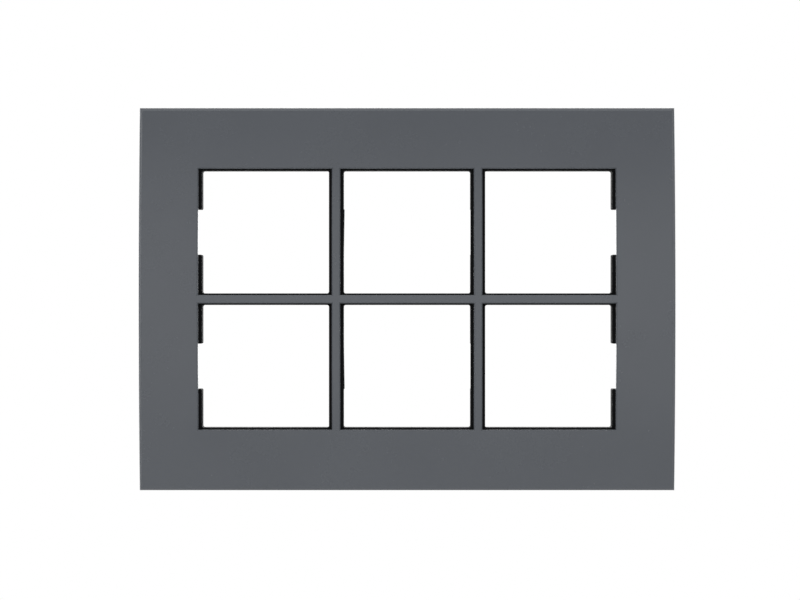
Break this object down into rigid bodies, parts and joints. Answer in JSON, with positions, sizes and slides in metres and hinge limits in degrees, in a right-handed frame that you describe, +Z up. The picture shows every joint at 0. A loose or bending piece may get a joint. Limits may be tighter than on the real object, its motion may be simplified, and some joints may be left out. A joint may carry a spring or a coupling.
{
  "type": "switch plate",
  "caption": "Wall plate for pairs of switch modules: a crowned dark grey cover with a grid of rectangular windows, clipped on a black support frame.",
  "frame": {"origin": "middle of the plate, on the wall plane that the support frame's back lies on", "axes": "+X to the right of someone facing the plate, +Y into the wall, +Z up"},
  "size_m": [0.1936, 0.0105, 0.1384],
  "materials": {
    "grey_plastic": "fine satin texture, dark grey",
    "black_plastic": "matt black"
  },
  "bodies": {
    "root": {"cover_plate": "grey_plastic", "support_frame": "black_plastic"}
  },
  "joints": []
}
